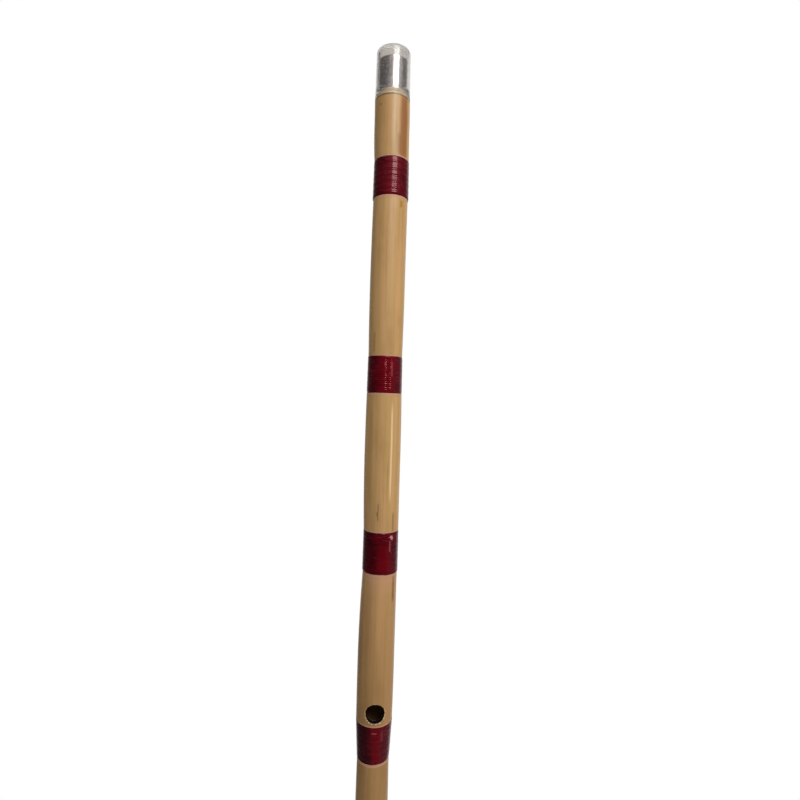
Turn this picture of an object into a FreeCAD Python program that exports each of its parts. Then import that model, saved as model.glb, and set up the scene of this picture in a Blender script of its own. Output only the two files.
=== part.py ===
import FreeCAD, Part
import math
import os

import Sketcher

# A ney: an end-blown flute made of one length of reed cane with seven internodes and six nodes.
# The flute stands upright with its foot's end face at z = 0, the blowing end up, the thumb hole
# towards -Y and the five front finger holes towards +Y. All sizes are in millimetres.

doc = FreeCAD.newDocument("ney_flute")


# Driving dimensions

SIZES = {
    # heights above the foot
    "RimHeight": 640.0,
    "ShoulderHeight": 617.0,
    "SpigotTop": 620.5,
    "SeatHeight": 602.0,
    "CapTop": 646.0,
    # the cane's turned end and its foot
    "ShoulderRadius": 10.5,
    "ShoulderRound": 0.4,
    "SpigotRadius": 8.8,
    "SeatRadius": 8.22,
    "FootRadius": 9.4,
    "FootRound": 0.5,
    # the bore: chambers between what is left of the node walls, and the reamed foot
    "ChamberRadius": 7.8,
    "NodeBoreRadius": 7.0,
    "NodeWallHalf": 1.5,
    "NodeWallSlope": 1.0,
    "FootBoreRadius": 8.0,
    "FootBoreDepth": 38.0,
    # the finger holes
    "ThumbHoleRadius": 5.4,
    "ThumbHoleHeight": 256.4,
    "FrontHoleRadius": 4.85,
    "FrontHoleHeightOne": 84.0,
    "FrontHoleHeightTwo": 114.0,
    "FrontHoleHeightThree": 156.0,
    "FrontHoleHeightFour": 184.0,
    "FrontHoleHeightFive": 212.0,
    "HoleRimRound": 0.4,
    # the metal tube and its bevelled rim
    "MetalRadius": 8.2,
    "MetalBoreRadius": 7.5,
    "RimBevelWidth": 0.4,
    "RimBevelHeight": 1.2,
    "RimEdge": 0.2,
    # the clear cap
    "CapMouthRadius": 10.35,
    "CapTopRadius": 10.15,
    "CapTopRound": 1.0,
    "CapInnerRound": 0.8,
    "CapLipRadius": 10.48,
    "CapLipHeight": 2.3,
    "CapSocketRadius": 8.85,
    "CapSocketDepth": 4.0,
    "CapSocketStep": 0.5,
    "CapInnerRadius": 8.47,
    "CapInnerTopRadius": 8.42,
    "CapEndWall": 1.6,
    "CapSeatGap": 0.05,
    # the binding
    "CoreThickness": 0.15,
    "ThreadRadius": 0.225,
    "ThreadBite": 0.03,
}

# Each node, counted from the blowing end: the height of its binding's middle, the binding's
# width, the sideways shift of the cane there, the binding's outer radius at its top and bottom
# edge, and the radius of the bare cane just above and just below it.
NODE_CELLS = ("Height", "Width", "Shift", "BandTop", "BandBottom", "CaneAbove", "CaneBelow")
NODES = {
    "NodeOne": (569.1, 22.6, 0.6, 10.5, 10.78, 10.31, 10.32),
    "NodeTwo": (453.3, 21.7, 0.3, 10.37, 10.58, 10.08, 10.45),
    "NodeThree": (348.9, 24.4, 0.8, 10.53, 10.62, 10.37, 10.22),
    "NodeFour": (237.2, 22.6, 0.0, 10.85, 9.7, 10.76, 9.5),
    "NodeFive": (136.0, 22.0, 0.0, 9.75, 9.65, 9.42, 9.4),
    "NodeSix": (41.0, 22.0, 0.0, 9.65, 9.6, 9.35, 9.3),
}

# The widest ring of each internode, from the blowing end: height, sideways shift and radius
BELLY_CELLS = ("Height", "Shift", "Radius")
BELLIES = {
    "BellyOne": (600.0, 0.2, 10.56),
    "BellyTwo": (504.0, 0.3, 10.47),
    "BellyThree": (407.0, 0.35, 10.78),
    "BellyFour": (281.0, 0.05, 10.95),
    "BellyFive": (187.0, 0.0, 9.75),
    "BellySix": (90.0, 0.0, 9.6),
    "BellySeven": (14.0, 0.0, 9.42),
}

TURNS_PER_BINDING = 18
LEAST_THREAD_GAP = 0.4

# How far an edge may lie from where it is looked for
TOLERANCE = 0.01

sheet = doc.addObject("Spreadsheet::Sheet", "Sheet")
sheet.Label = "driving_dimensions"


def fill_sheet():
    """Writes every driving dimension as a plain number, with its name as the cell's alias."""
    rows = dict(SIZES)
    for table, cells in ((NODES, NODE_CELLS), (BELLIES, BELLY_CELLS)):
        for name, values in table.items():
            for cell, value in zip(cells, values):
                rows[name + cell] = value
    for number, (alias, value) in enumerate(rows.items(), start=1):
        sheet.set("A%d" % number, alias)
        sheet.set("B%d" % number, str(value))
        sheet.setAlias("B%d" % number, alias)
    doc.recompute()


def size(alias):
    return float(sheet.get(alias))


fill_sheet()


# Helpers for bodies, sketches and features

def new_body(name):
    body = doc.addObject("PartDesign::Body", name)
    body.Label = name
    return body


def new_sketch(body, name, plane_role):
    sketch = body.newObject("Sketcher::SketchObject", name)
    planes = [item for item in body.Origin.OriginFeatures if item.Role == plane_role]
    sketch.AttachmentSupport = [(planes[0], "")]
    sketch.MapMode = "FlatFace"
    return sketch


def circle_sketch(body, name, plane_role, radius, across="0", height="0"):
    """A circle on a level plane at a height, or on an upright plane with its centre at a height."""
    sketch = new_sketch(body, name, plane_role)
    start_radius = 5.0
    circle = Part.Circle(FreeCAD.Vector(0, 0, 0), FreeCAD.Vector(0, 0, 1), start_radius)
    edge = sketch.addGeometry(circle, False)
    sketch.addConstraint(Sketcher.Constraint("Coincident", edge, 3, -1, 1))
    bound = sketch.addConstraint(Sketcher.Constraint("Radius", edge, start_radius))
    sketch.setExpression("Constraints[%d]" % bound, radius)
    up = "z" if plane_role == "XY_Plane" else "y"
    sketch.setExpression(".AttachmentOffset.Base.x", across)
    sketch.setExpression(".AttachmentOffset.Base." + up, height)
    return sketch


def profile_sketch(body, name, corners):
    """A closed outline on the XZ plane: each corner is its radius and height as expressions."""
    sketch = new_sketch(body, name, "XZ_Plane")
    points = []
    for radius, height in corners:
        x = float(sketch.evalExpression(radius))
        y = float(sketch.evalExpression(height))
        points.append(FreeCAD.Vector(x, y, 0))
    count = len(points)
    for index in range(count):
        line = Part.LineSegment(points[index], points[(index + 1) % count])
        sketch.addGeometry(line, False)
    for index in range(count):
        following = (index + 1) % count
        sketch.addConstraint(Sketcher.Constraint("Coincident", index, 2, following, 1))
    for index, (corner, point) in enumerate(zip(corners, points)):
        for kind, axis, expression, value in (
            ("DistanceX", -2, corner[0], point.x),
            ("DistanceY", -1, corner[1], point.y),
        ):
            if value == 0:
                sketch.addConstraint(Sketcher.Constraint("PointOnObject", index, 1, axis))
                continue
            bound = sketch.addConstraint(Sketcher.Constraint(kind, -1, 1, index, 1, value))
            sketch.setExpression("Constraints[%d]" % bound, expression)
    return sketch


def turned(body, name, kind, sketch):
    """A Revolution or a Groove of a profile once round the body's upright axis."""
    feature = body.newObject("PartDesign::" + kind, name)
    feature.Profile = sketch
    feature.ReferenceAxis = (sketch, ["V_Axis"])
    feature.Angle = 360.0
    return feature


def ring_edges(shape, rings):
    """Names of the full round edges that lie at the given pairs of height and radius."""
    found = []
    for number, edge in enumerate(shape.Edges, start=1):
        for height, radius in rings:
            level = abs(edge.CenterOfMass.z - height) < TOLERANCE
            same_size = abs(edge.Length / (2 * math.pi) - radius) < TOLERANCE
            if edge.isClosed() and level and same_size:
                found.append("Edge%d" % number)
    if len(found) != len(rings):
        raise RuntimeError("found %d of %d rings" % (len(found), len(rings)))
    return found


def rounded(body, name, base, rings, radius):
    """A fillet on the round edges of the body's last feature."""
    doc.recompute()
    feature = body.newObject("PartDesign::Fillet", name)
    feature.Base = (base, ring_edges(base.Shape, rings))
    feature.setExpression("Radius", radius)
    return feature


# Reed tube: one length of cane. Each internode is a loft through its two ends and its widest
# ring, and each node is scraped to a plain land, a little smaller, that the binding lies on.

BINDING_DEPTH = "(Sheet.CoreThickness + 2 * Sheet.ThreadRadius - Sheet.ThreadBite)"


def binding_edge(node, end):
    """Height, shift and land radius of a binding's top or bottom edge, as expressions."""
    sign = "+" if end == "Top" else "-"
    height = "Sheet.%sHeight %s Sheet.%sWidth / 2" % (node, sign, node)
    radius = "Sheet.%sBand%s - %s" % (node, end, BINDING_DEPTH)
    return height, "Sheet.%sShift" % node, radius


def internode_rings():
    """Height, shift and radius of each internode's three rings, from the blowing end down."""
    internodes = []
    upper = ("Sheet.ShoulderHeight", "0", "Sheet.ShoulderRadius")
    for node, belly in zip(NODES, BELLIES):
        height, shift, _ = binding_edge(node, "Top")
        middle = tuple("Sheet.%s%s" % (belly, cell) for cell in BELLY_CELLS)
        internodes.append((upper, middle, (height, shift, "Sheet.%sCaneAbove" % node)))
        height, shift, _ = binding_edge(node, "Bottom")
        upper = (height, shift, "Sheet.%sCaneBelow" % node)
    last = tuple("Sheet.%s%s" % (list(BELLIES)[-1], cell) for cell in BELLY_CELLS)
    internodes.append((upper, last, ("0", "0", "Sheet.FootRadius")))
    return internodes


def ring_loft(body, name, rings, straight):
    sections = []
    for number, (height, shift, radius) in enumerate(rings, start=1):
        label = "%s_ring_%d" % (name, number)
        sections.append(circle_sketch(body, label, "XY_Plane", radius, shift, height))
    loft = body.newObject("PartDesign::AdditiveLoft", name)
    loft.Profile = sections[0]
    loft.Sections = sections[1:]
    loft.Ruled = straight
    return loft


def bore_corners():
    """The bore's outline from the foot to the seat, with a step at what is left of each node."""
    corners = [("0", "0"), ("Sheet.FootBoreRadius", "0")]
    corners.append(("Sheet.FootBoreRadius", "Sheet.FootBoreDepth"))
    for node in reversed(list(NODES)):
        wall = "Sheet.%sHeight %%s Sheet.NodeWallHalf" % node
        slope = wall + " %s Sheet.NodeWallSlope"
        if node != "NodeSix":
            corners.append(("Sheet.ChamberRadius", slope % ("-", "-")))
            corners.append(("Sheet.NodeBoreRadius", wall % "-"))
        else:
            corners.append(("Sheet.NodeBoreRadius", "Sheet.FootBoreDepth"))
        corners.append(("Sheet.NodeBoreRadius", wall % "+"))
        corners.append(("Sheet.ChamberRadius", slope % ("+", "+")))
    corners.append(("Sheet.ChamberRadius", "Sheet.SeatHeight"))
    corners.append(("Sheet.SeatRadius", "Sheet.SeatHeight"))
    corners.append(("Sheet.SeatRadius", "Sheet.SpigotTop"))
    corners.append(("0", "Sheet.SpigotTop"))
    return corners


def finger_holes(body, name, radius, heights, to_thumb_side):
    """Round holes through one wall of the tube, from the middle plane outwards."""
    least_chip = 1.0
    volume = body.Shape.Volume
    for number, height in enumerate(heights, start=1):
        label = "%s_%d" % (name, number)
        sketch = circle_sketch(body, label + "_sketch", "XZ_Plane", radius, "0", height)
        pocket = body.newObject("PartDesign::Pocket", label)
        pocket.Profile = sketch
        pocket.Type = "ThroughAll"
        pocket.Reversed = to_thumb_side
        doc.recompute()
        if body.Shape.Volume > volume - least_chip:
            raise RuntimeError(label + " cut nothing")
        volume = body.Shape.Volume


def hole_rim_edges(shape, radius, heights):
    """Names of the edges where the finger holes break through the tube's outer surface."""
    names = []
    for number, edge in enumerate(shape.Edges, start=1):
        ends = [vertex.Point for vertex in edge.Vertexes]
        outside = all(abs(end.y) > size("ChamberRadius") for end in ends)
        for height in heights:
            gaps = [abs(math.hypot(end.x, end.z - height) - radius) for end in ends]
            if outside and max(gaps) < TOLERANCE:
                names.append("Edge%d" % number)
    return names


def make_reed_tube():
    body = new_body("reed_tube")
    for number, rings in enumerate(internode_rings(), start=1):
        ring_loft(body, "internode_%d" % number, rings, False)
    for number, node in enumerate(NODES, start=1):
        edges = (binding_edge(node, "Top"), binding_edge(node, "Bottom"))
        ring_loft(body, "node_land_%d" % number, edges, True)
    spigot = body.newObject("PartDesign::Pad", "spigot")
    spigot.Profile = circle_sketch(
        body, "spigot_sketch", "XY_Plane", "Sheet.SpigotRadius", "0", "Sheet.ShoulderHeight"
    )
    spigot.setExpression("Length", "Sheet.SpigotTop - Sheet.ShoulderHeight")
    shoulder = (size("ShoulderHeight"), size("ShoulderRadius"))
    rounded(body, "shoulder_edge", spigot, [shoulder], "Sheet.ShoulderRound")
    foot = (0, size("FootRadius"))
    solid_cane = rounded(body, "foot_edge", body.Tip, [foot], "Sheet.FootRound")
    doc.recompute()
    solid_volume = solid_cane.Shape.Volume
    turned(body, "bore", "Groove", profile_sketch(body, "bore_sketch", bore_corners()))
    doc.recompute()
    least_bore = math.pi * size("NodeBoreRadius") ** 2 * size("SpigotTop")
    if body.Shape.Volume > solid_volume - least_bore:
        raise RuntimeError("the bore cut too little")
    finger_holes(body, "thumb_hole", "Sheet.ThumbHoleRadius", ["Sheet.ThumbHoleHeight"], True)
    front = ["Sheet.FrontHoleHeight" + word for word in ("One", "Two", "Three", "Four", "Five")]
    finger_holes(body, "front_hole", "Sheet.FrontHoleRadius", front, False)
    bored = body.Tip
    rims = hole_rim_edges(bored.Shape, size("ThumbHoleRadius"), [size("ThumbHoleHeight")])
    front_heights = [size(cell.split(".")[1]) for cell in front]
    rims += hole_rim_edges(bored.Shape, size("FrontHoleRadius"), front_heights)
    softened = body.newObject("PartDesign::Fillet", "hole_rims")
    softened.Base = (bored, rims)
    softened.setExpression("Radius", "Sheet.HoleRimRound")
    return body


# Metal tube at the blowing end: a thin tube pushed into the seat, with a bevelled rim for the lip

def make_mouthpiece_tube():
    body = new_body("mouthpiece_tube")
    corners = [
        ("Sheet.MetalBoreRadius", "Sheet.SeatHeight"),
        ("Sheet.MetalRadius", "Sheet.SeatHeight"),
        ("Sheet.MetalRadius", "Sheet.RimHeight - Sheet.RimEdge"),
        ("Sheet.MetalRadius - Sheet.RimEdge", "Sheet.RimHeight"),
        ("Sheet.MetalBoreRadius + Sheet.RimBevelWidth", "Sheet.RimHeight"),
        ("Sheet.MetalBoreRadius", "Sheet.RimHeight - Sheet.RimBevelHeight"),
    ]
    turned(body, "tube_wall", "Revolution", profile_sketch(body, "tube_wall_sketch", corners))
    return body


# Clear cap: a thick moulded cup with a small lip at its mouth, a push fit on the spigot and close
# round the metal tube

def make_mouthpiece_cap():
    body = new_body("mouthpiece_cap")
    mouth = "Sheet.ShoulderHeight + Sheet.CapSeatGap"
    inner_top = "Sheet.CapTop - Sheet.CapEndWall"
    corners = [
        ("Sheet.CapSocketRadius", mouth),
        ("Sheet.CapLipRadius", mouth),
        ("Sheet.CapLipRadius", mouth + " + Sheet.CapLipHeight"),
        ("Sheet.CapMouthRadius", mouth + " + Sheet.CapLipHeight"),
        ("Sheet.CapTopRadius", "Sheet.CapTop"),
        ("0", "Sheet.CapTop"),
        ("0", inner_top),
        ("Sheet.CapInnerTopRadius", inner_top),
        ("Sheet.CapInnerRadius", mouth + " + Sheet.CapSocketDepth + Sheet.CapSocketStep"),
        ("Sheet.CapSocketRadius", mouth + " + Sheet.CapSocketDepth"),
    ]
    cup = turned(body, "cup", "Revolution", profile_sketch(body, "cup_sketch", corners))
    top = (size("CapTop"), size("CapTopRadius"))
    rounded(body, "top_edge", cup, [top], "Sheet.CapTopRound")
    inside = (size("CapTop") - size("CapEndWall"), size("CapInnerTopRadius"))
    rounded(body, "inner_edge", body.Tip, [inside], "Sheet.CapInnerRound")
    return body


# Bindings: on each node a plain core, which is the first layer of thread soaked with lacquer, and
# one unbroken thread wound over it

def make_binding_core(number, node):
    body = new_body("binding_core_%d" % number)
    lower, _, lower_radius = binding_edge(node, "Bottom")
    upper, _, upper_radius = binding_edge(node, "Top")
    corners = [
        (lower_radius, lower),
        (lower_radius + " + Sheet.CoreThickness", lower),
        (upper_radius + " + Sheet.CoreThickness", upper),
        (upper_radius, upper),
    ]
    turned(body, "first_layer", "Revolution", profile_sketch(body, "layer_sketch", corners))
    body.setExpression("Placement.Base.x", "Sheet.%sShift" % node)
    return body


def biarc(start, start_along, end, end_along):
    """Two arcs that leave start and reach end along the given unit directions."""
    across = end - start
    both = start_along + end_along
    square = both.dot(both) - 4.0
    linear = -2.0 * across.dot(both)
    reach = (-linear - math.sqrt(linear ** 2 - 4.0 * square * across.dot(across))) / (2.0 * square)
    first_corner = start + start_along * reach
    last_corner = end - end_along * reach
    joint = (first_corner + last_corner) * 0.5
    arcs = []
    for begin, corner, finish in ((start, first_corner, joint), (joint, last_corner, end)):
        weight = math.cos((corner - begin).getAngle(finish - begin))
        middle = (begin + finish + corner * (2.0 * weight)) * (0.5 / (1.0 + weight))
        arcs.append(Part.Arc(begin, middle, finish).toShape())
    return arcs


def winding_edges(node):
    """The thread's centre line: a slightly conical helix in half turns, with straight ends."""
    thread = size("ThreadRadius")
    straight_end = 2 * thread
    half_width = size(node + "Width") / 2 - thread
    low_radius = size(node + "BandBottom") - thread
    high_radius = size(node + "BandTop") - thread
    half_turns = 2 * TURNS_PER_BINDING
    climb = 2 * half_width / half_turns

    def station(number):
        """Point and direction of the helix after a number of half turns."""
        share = number / half_turns
        radius = low_radius + (high_radius - low_radius) * share
        side = 1 if number % 2 == 0 else -1
        height = size(node + "Height") - half_width + climb * number
        point = FreeCAD.Vector(size(node + "Shift") + side * radius, 0, height)
        along = FreeCAD.Vector(0, side * math.pi * radius, climb)
        return point, along.normalize()

    edges = []
    first, first_along = station(0)
    last, last_along = station(half_turns)
    edges.append(Part.LineSegment(first - first_along * straight_end, first).toShape())
    for number in range(half_turns):
        start, start_along = station(number)
        end, end_along = station(number + 1)
        edges.extend(biarc(start, start_along, end, end_along))
    edges.append(Part.LineSegment(last, last + last_along * straight_end).toShape())
    return edges


def least_gap(edges):
    """Least gap of the thread to itself, from points on its centre line a turn or more apart."""
    points_per_arc = 10
    arcs_per_turn = 4
    points = []
    for edge in edges[1:-1]:
        points.extend(edge.discretize(points_per_arc + 1)[:-1])
    turn = points_per_arc * arcs_per_turn
    spread = points_per_arc
    nearest = min(
        points[index].distanceToPoint(points[other])
        for index in range(len(points))
        for other in range(index + turn - spread, min(index + turn + spread, len(points)))
    )
    return nearest - 2 * size("ThreadRadius")


def make_binding_thread(number, node):
    edges = winding_edges(node)
    gap = least_gap(edges)
    print("binding_thread_%d: least gap between turns %.3f mm" % (number, gap))
    if gap < LEAST_THREAD_GAP:
        raise RuntimeError("the turns of binding_thread_%d are too close" % number)
    path = Part.Wire(edges)
    start = edges[0].Vertexes[0].Point
    along = edges[0].Vertexes[1].Point - start
    profile = Part.Wire(Part.Circle(start, along, size("ThreadRadius")).toShape())
    thread = doc.addObject("Part::Feature", "binding_thread_%d" % number)
    thread.Label = "binding_thread_%d" % number
    thread.Shape = path.makePipeShell([profile], True, False)
    section = math.pi * size("ThreadRadius") ** 2
    print("  length %.0f mm, volume %.2f of section times length"
          % (path.Length, thread.Shape.Volume / (section * path.Length)))
    return thread


# The assembly

subparts = [make_reed_tube(), make_mouthpiece_tube(), make_mouthpiece_cap()]
for number, node in enumerate(NODES, start=1):
    subparts.append(make_binding_core(number, node))
    subparts.append(make_binding_thread(number, node))
doc.recompute()


# Checks, then one STEP file for each sub-part

for item in doc.Objects:
    if "Invalid" in item.State or "Error" in item.State:
        raise RuntimeError("%s failed: %s" % (item.Label, item.State))
for item in subparts:
    if item.Shape.isNull() or not item.Shape.isValid():
        raise RuntimeError("%s has no valid shape" % item.Label)

os.makedirs("parts", exist_ok=True)
for item in subparts:
    item.Shape.exportStep("parts/%s.step" % item.Label)
    print("%s: %d solid, %.0f cubic mm" % (item.Label, len(item.Shape.Solids), item.Shape.Volume))
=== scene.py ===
import math

import bmesh
import bpy
import numpy as np
from mathutils import Euler, Matrix, Vector


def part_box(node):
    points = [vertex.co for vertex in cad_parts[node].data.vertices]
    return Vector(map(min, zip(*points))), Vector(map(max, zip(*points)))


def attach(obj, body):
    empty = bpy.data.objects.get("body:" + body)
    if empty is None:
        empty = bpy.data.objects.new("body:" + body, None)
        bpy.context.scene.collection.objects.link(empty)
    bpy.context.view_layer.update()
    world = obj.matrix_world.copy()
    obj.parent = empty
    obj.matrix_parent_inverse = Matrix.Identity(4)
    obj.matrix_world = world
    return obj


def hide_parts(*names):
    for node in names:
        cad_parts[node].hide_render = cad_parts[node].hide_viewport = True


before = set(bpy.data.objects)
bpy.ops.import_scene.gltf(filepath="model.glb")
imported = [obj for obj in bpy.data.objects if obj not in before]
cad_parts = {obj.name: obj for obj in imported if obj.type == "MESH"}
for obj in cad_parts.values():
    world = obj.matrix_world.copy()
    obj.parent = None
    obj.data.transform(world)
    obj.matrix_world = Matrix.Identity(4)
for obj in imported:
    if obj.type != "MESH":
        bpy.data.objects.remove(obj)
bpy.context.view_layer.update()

# The camera. It stands level, 30 cm in front of the flute's upper half, so the rings above it bow
# upwards and the rings below it bow downwards. Its slight roll leans the flute's top to the right,
# and the whole view is turned a little round the flute, to the left of the thumb hole.
LENS = 22.5
CAMERA_PLACE = (0.0099, -0.300, 0.4387)
CAMERA_ROLL = math.radians(1.72)
VIEW_TURN = Matrix.Rotation(math.radians(-5.0), 4, "Z")

camera = bpy.data.objects.new("camera", bpy.data.cameras.new("camera"))
camera.data.lens = LENS
camera.data.sensor_width = 36.0
camera.data.clip_start = 0.01
level = Euler((math.pi / 2, 0, 0)).to_matrix().to_4x4()
camera.matrix_world = (
    VIEW_TURN @ Matrix.Translation(CAMERA_PLACE) @ level @ Matrix.Rotation(CAMERA_ROLL, 4, "Z")
)
bpy.context.scene.collection.objects.link(camera)
bpy.context.scene.camera = camera


# The reed tube is one length of cane with seven internodes. It was cut green, dried and sanded,
# its node walls were drilled out, its finger holes burnt through with a hot iron, and its top end
# turned down to a short spigot. Each node is scraped to a plain land for its binding.
MM = 0.001
NODE_NUMBERS = range(1, 7)
SHOULDER_HEIGHT, SHOULDER_RADIUS, SHOULDER_ROUND = 617.0, 10.5, 0.4
SPIGOT_TOP, SPIGOT_RADIUS = 620.5, 8.8
SEAT_HEIGHT, SEAT_RADIUS = 602.0, 8.22
FOOT_RADIUS, FOOT_ROUND = 9.4, 0.5
CHAMBER_RADIUS, NODE_BORE_RADIUS = 7.8, 7.0
NODE_WALL_HALF, NODE_WALL_SLOPE = 1.5, 1.0
FOOT_BORE_RADIUS, FOOT_BORE_DEPTH = 8.0, 38.0
BINDING_DEPTH = 0.57
# Radii at each binding: of the thread at its top and bottom edge, of the cane above and below it
BAND_TOP = (10.5, 10.37, 10.53, 10.85, 9.75, 9.65)
BAND_BOTTOM = (10.78, 10.58, 10.62, 9.7, 9.65, 9.6)
CANE_ABOVE = (10.31, 10.08, 10.37, 10.76, 9.42, 9.35)
CANE_BELOW = (10.32, 10.45, 10.22, 9.5, 9.4, 9.3)
# The widest ring of each internode: height, sideways shift, radius
BELLIES = (
    (600.0, 0.2, 10.56), (504.0, 0.3, 10.47), (407.0, 0.35, 10.78), (281.0, 0.05, 10.94),
    (187.0, 0.0, 9.75), (90.0, 0.0, 9.6), (14.0, 0.0, 9.42),
)
# Finger holes: side of the tube as an angle from -Y, height, radius, rows of quads across
THUMB_SIDE, FRONT_SIDE = 0.0, math.pi
HOLES = ((THUMB_SIDE, 256.4, 5.4, 30),) + tuple(
    (FRONT_SIDE, height, 4.85, 14) for height in (212.0, 184.0, 156.0, 114.0, 84.0)
)
HOLE_BLOCK, HOLE_ROUND = 7.5, 0.4
# Each hole's lower corners are filed out by this share of its radius
HOLE_FILED = 0.055
# Columns of points once round the tube, and across the block that is left out round each hole
COLUMNS, HOLE_COLUMNS = 144, 40
COLUMN_ANGLES = np.arange(COLUMNS) * 2 * math.pi / COLUMNS
EDGE_MARGIN, FINE_STEP, COARSE_STEP = 3.6, 0.3, 2.4
# Rows of points from a block's border in to its hole, and how they crowd towards the hole
PATCH_ROWS, PATCH_CROWDING = 12, 1.6
RIPPLE_DEPTH = 0.055
# Width of the scraped strip above and below a binding, and of the chipped strip round a hole
SCRAPED_ABOVE, SCRAPED_BELOW, CHIPPED_WIDTH = 1.0, 1.9, 0.9
# How chipped a hole's edge is at its sides, and how much more at its bottom and less at its top
CHIPPED_SIDES, CHIPPED_LEAN = 0.6, 0.4


def grid_quads(rows, columns, closed, keep=None):
    """Corner numbers of the quads of a grid of points. A closed grid joins its last column to its
    first, and keep says which quads stay."""
    number = np.arange(rows * columns).reshape(rows, columns)
    right = np.roll(number, -1, axis=1)
    quads = np.stack([number[:-1], right[:-1], right[1:], number[1:]], axis=-1)
    if not closed:
        quads = quads[:, :-1]
    if keep is not None:
        quads = quads[keep]
    return quads.reshape(-1, 4)


def make_piece(name, sheets, sharp=40.0):
    """One closed mesh out of grids of points in millimetres whose borders meet. Each grid brings
    its points, its quads and its point values. Equal points are merged, and faces turned outwards."""
    points = np.concatenate([sheet["points"].reshape(-1, 3) for sheet in sheets]) * MM
    sizes = [sheet["points"].size // 3 for sheet in sheets]
    starts = np.cumsum([0] + sizes[:-1])
    quads = np.concatenate([sheet["quads"] + start for sheet, start in zip(sheets, starts)])
    mesh = bpy.data.meshes.new(name)
    mesh.from_pydata(points.tolist(), [], quads.tolist())
    for value in sheets[0].get("values", {}):
        numbers = np.concatenate([sheet["values"][value].ravel() for sheet in sheets])
        mesh.attributes.new(value, "FLOAT", "POINT").data.foreach_set("value", numbers)
    shell = bmesh.new()
    shell.from_mesh(mesh)
    bmesh.ops.remove_doubles(shell, verts=shell.verts, dist=1e-7)
    bmesh.ops.recalc_face_normals(shell, faces=shell.faces)
    shell.to_mesh(mesh)
    shell.free()
    mesh.polygons.foreach_set("use_smooth", np.ones(len(mesh.polygons), dtype=bool))
    mesh.set_sharp_from_angle(angle=math.radians(sharp))
    piece = bpy.data.objects.new(name, mesh)
    bpy.context.scene.collection.objects.link(piece)
    return piece


def ripple(angle, height, seed, waves, around, along):
    """Smooth unevenness from 0 to 1: the mean of some cosine waves, each with a whole number of
    turns round the tube, a random length along it of at least so many mm, and a random phase."""
    draw = np.random.default_rng(seed)
    total = 0.0
    for _ in range(waves):
        turns = draw.integers(1, around + 1)
        pitch = along * draw.uniform(1.0, 3.0)
        phase = draw.uniform(0, 2 * math.pi)
        total = total + np.cos(turns * angle + 2 * math.pi * height / pitch + phase)
    return np.clip(0.5 + total / (2 * math.sqrt(waves) * 1.4), 0.0, 1.0)


def fade(value, start, end):
    """Smooth step from 0 at start to 1 at end."""
    share = np.clip((value - start) / (end - start), 0.0, 1.0)
    return share * share * (3 - 2 * share)


def round_points(radius, angle, height, shift=0.0):
    """Points at radii, angles from -Y and heights, round an upright axis shifted along X."""
    place = (shift + radius * np.sin(angle), -radius * np.cos(angle), height)
    return np.stack(np.broadcast_arrays(*place), axis=-1)


bands = []
for number in NODE_NUMBERS:
    low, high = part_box(f"binding_core_{number}")
    bands.append({
        "top": high.z / MM, "bottom": low.z / MM, "shift": (low.x + high.x) / 2 / MM,
        "top_radius": BAND_TOP[number - 1], "bottom_radius": BAND_BOTTOM[number - 1],
    })

upper_ring = (SHOULDER_HEIGHT, 0.0, SHOULDER_RADIUS)
internodes = []
for band, above, below, belly in zip(bands, CANE_ABOVE, CANE_BELOW, BELLIES):
    internodes.append((upper_ring, belly, (band["top"], band["shift"], above)))
    upper_ring = (band["bottom"], band["shift"], below)
internodes.append((upper_ring, BELLIES[-1], (0.0, 0.0, FOOT_RADIUS)))


def internode_outline(rings, height):
    """Radius and shift at a height: parabolas that are level at the belly and reach both ends."""
    upper, belly, lower = (np.array(ring) for ring in rings)
    end = np.where((height > belly[0])[..., None], upper, lower)
    reach = ((height - belly[0]) / (end[..., 0] - belly[0])) ** 2
    return belly[2] + (end[..., 2] - belly[2]) * reach, belly[1] + (end[..., 1] - belly[1]) * reach


def scraped_share(angle, height):
    """1 at a binding's edge, falling to 0 across the strip scraped above it or below it."""
    wander = 0.2 * ripple(angle, height, 13, 8, 5, 6.0) - 0.1
    share = 0.0
    for end, width in (("top", SCRAPED_ABOVE), ("bottom", SCRAPED_BELOW)):
        edges = np.array([band[end] for band in bands])
        gap = np.abs(height[..., None] - edges).min(axis=-1) / width
        share = np.maximum(share, 1 - fade(gap + wander, 0.55, 1.0))
    return share


def skin_points(rings, angle, height):
    """The cane's skin at angles from -Y and heights, a little uneven, as points and point values."""
    radius, shift = internode_outline(rings, height)
    facets = ripple(angle, height, 11, 9, 9, 160.0)
    swell = ripple(angle, height, 12, 6, 3, 45.0)
    radius = radius - RIPPLE_DEPTH * (0.7 * facets + 0.3 * swell)
    values = plain_values(radius.shape, skin=1.0)
    values["scraped"] = scraped_share(angle, height)
    return round_points(radius, angle, height, shift), values


def internode_heights(rings, holes):
    """Heights down an internode: close rows at both ends, even rows across each finger hole."""
    top, bottom = rings[0][0], rings[2][0]
    marks, steps = [top, top - EDGE_MARGIN], [FINE_STEP]
    for _, height, _, rows in holes:
        marks += [height + HOLE_BLOCK, height - HOLE_BLOCK]
        steps += [COARSE_STEP, 2 * HOLE_BLOCK / rows]
    marks += [min(bottom + EDGE_MARGIN, marks[-1]), bottom]
    steps += [COARSE_STEP, FINE_STEP]
    stretches = [
        np.linspace(start, end, max(1, round((start - end) / step)), endpoint=False)
        for start, end, step in zip(marks[:-1], marks[1:], steps)
        if start > end
    ]
    return np.append(np.concatenate(stretches), bottom)


def holes_between(top, bottom):
    return [hole for hole in HOLES if bottom < hole[1] < top]


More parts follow.
